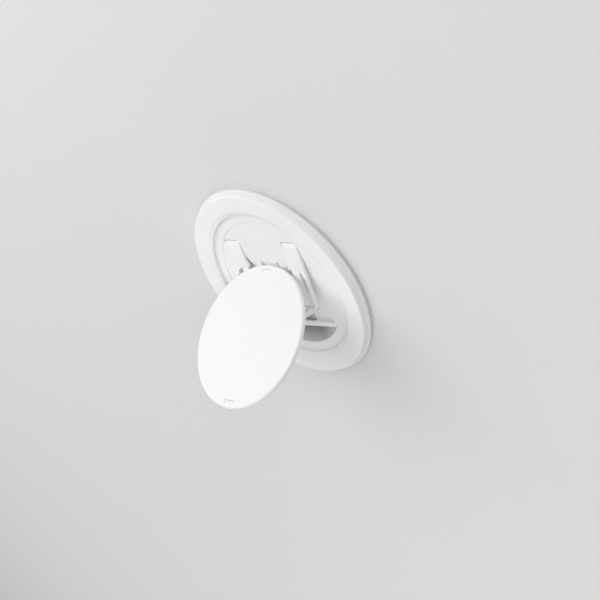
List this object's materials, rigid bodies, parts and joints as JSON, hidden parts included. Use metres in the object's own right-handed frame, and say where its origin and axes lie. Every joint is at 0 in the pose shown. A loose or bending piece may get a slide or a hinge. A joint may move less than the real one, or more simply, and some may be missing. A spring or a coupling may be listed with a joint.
{
  "type": "phone grip",
  "caption": "Round magnetic phone grip: a low white ring base with slotted arms, a U-shaped prop and a tilting disc that fold flat into the ring.",
  "frame": {"origin": "centre of the mounting face, on the underside of the rear pad", "axes": "+Z out of the mounting face, +Y towards the arms' base pivots, +X along the hinge lines"},
  "size_m": [0.058, 0.058, 0.0334],
  "materials": {
    "white_plastic": "satin white moulded plastic",
    "white_metal": "white coated steel sheet",
    "steel": "plain drawn steel",
    "magnet": "nickel plated magnet",
    "pad": "soft pale elastomer sheet",
    "grey_pad": "soft matt grey elastomer"
  },
  "bodies": {
    "base": {"rear_pad": "pad", "rear_cover": "white_plastic", "base_ring": "white_plastic", "ring_magnets": "magnet", "flux_ring": "steel", "hinge_tray": "white_plastic", "well_pad": "grey_pad", "finger_pad": "grey_pad", "arm_pivot_pins": "steel"},
    "arms": {"swing_arm_right": "white_metal", "swing_arm_left": "white_metal", "prop_shaft": "steel"},
    "prop": {"prop_link": "white_metal", "disc_pivot_pins": "steel"},
    "disc": {"disc_carrier": "white_plastic", "disc_cover": "white_plastic"}
  },
  "joints": [
    {"name": "arm_hinge", "type": "hinge", "parent": "base", "child": "arms", "pos_m": [0, 0.0126, 0.00103], "axis": [1, 0, 0], "range_deg": [0, 9.4]},
    {"name": "prop_hinge", "type": "hinge", "parent": "arms", "child": "prop", "pos_m": [0, -0.00536, 0.004], "axis": [1, 0, 0], "range_deg": [-91.3, 0]},
    {"name": "disc_hinge", "type": "hinge", "parent": "prop", "child": "disc", "pos_m": [0, -0.00401, 0.01348], "axis": [1, 0, 0], "range_deg": [0, 136.7]}
  ],
  "couplings": [
    {"joint": "arm_hinge", "follows": "prop_hinge", "ratio": -0.10296},
    {"joint": "disc_hinge", "follows": "prop_hinge", "ratio": -1.4973}
  ]
}
